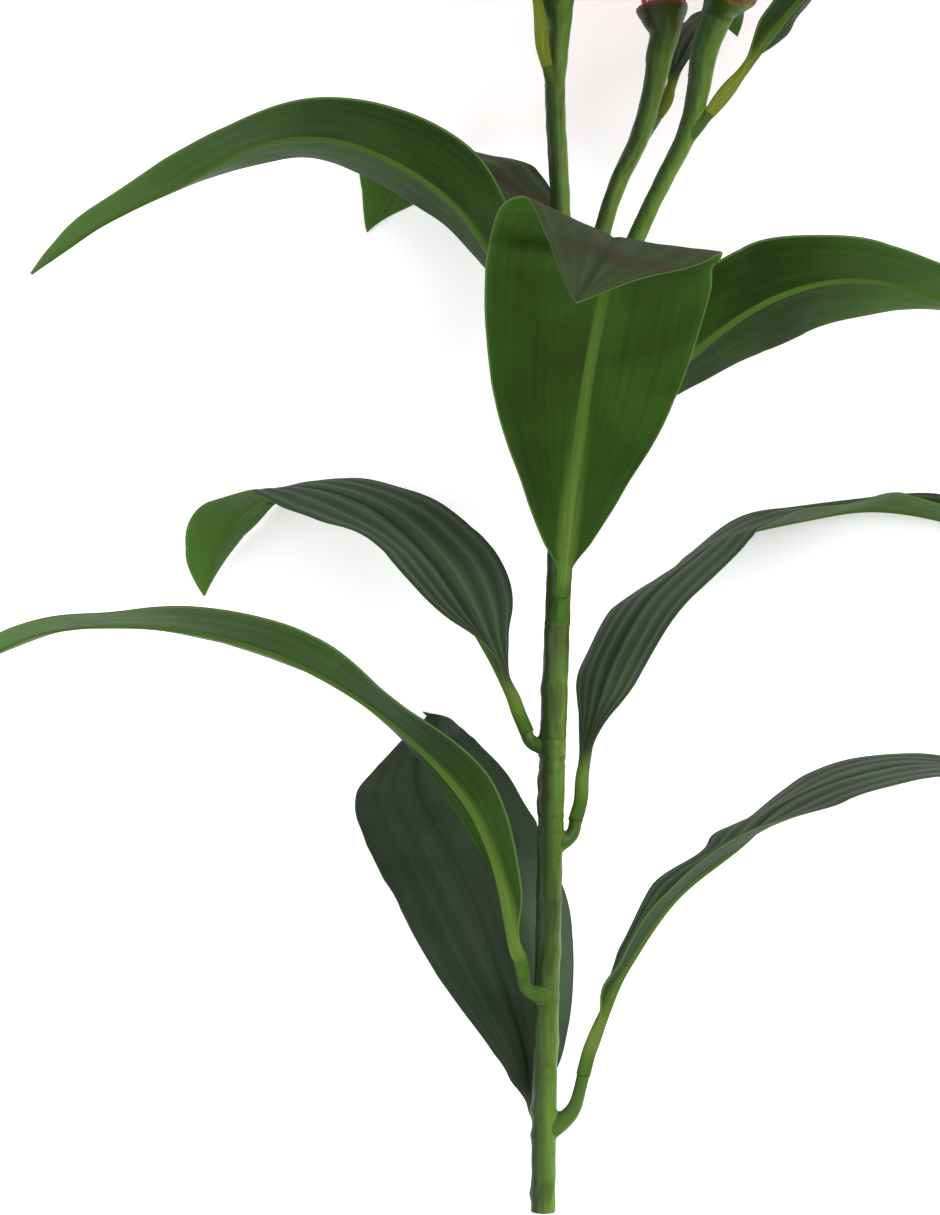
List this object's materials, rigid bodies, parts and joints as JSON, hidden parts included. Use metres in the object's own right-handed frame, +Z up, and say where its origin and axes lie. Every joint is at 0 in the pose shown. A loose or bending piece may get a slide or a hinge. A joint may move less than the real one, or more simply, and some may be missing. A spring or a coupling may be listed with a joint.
{
  "type": "lily",
  "caption": "Cut lily laid down: a leafy green stem whose stalks carry an open pink bloom, a half open bloom and a closed bud above small bracts.",
  "frame": {"origin": "bottom centre of the whole part's box, on the surface it lies on", "axes": "+X across the stem, +Y along the stem from its cut end to the flowers, +Z up from the surface"},
  "size_m": [0.2574, 0.3524, 0.1488],
  "materials": {
    "stem": "satin yellow-green",
    "leaf": "soft satin green, lighter below",
    "tepal": "soft matte pink, paler at the edges",
    "stamen": "matte, green threads and brown anthers",
    "pistil": "satin pale green",
    "bud": "soft matte green flushed pink"
  },
  "bodies": {
    "root": {"stem": "stem", "leaf_low_right": "leaf", "leaf_low_back": "leaf", "leaf_low_left": "leaf", "leaf_mid_right": "leaf", "leaf_mid_left": "leaf", "leaf_front": "leaf", "leaf_top_right": "leaf", "leaf_top_left": "leaf", "leaf_top_back": "leaf", "bract_bud": "leaf", "bract_half_bloom": "leaf", "bract_open_bloom": "leaf", "open_bloom_inner_tepal_1": "tepal", "open_bloom_inner_tepal_2": "tepal", "open_bloom_inner_tepal_3": "tepal", "open_bloom_outer_tepal_1": "tepal", "open_bloom_outer_tepal_2": "tepal", "open_bloom_outer_tepal_3": "tepal", "open_bloom_stamens": "stamen", "open_bloom_pistil": "pistil", "half_bloom_inner_tepal_1": "tepal", "half_bloom_inner_tepal_2": "tepal", "half_bloom_inner_tepal_3": "tepal", "half_bloom_outer_tepal_1": "tepal", "half_bloom_outer_tepal_2": "tepal", "half_bloom_outer_tepal_3": "tepal", "half_bloom_stamens": "stamen", "half_bloom_pistil": "pistil", "bud": "bud"}
  },
  "joints": []
}
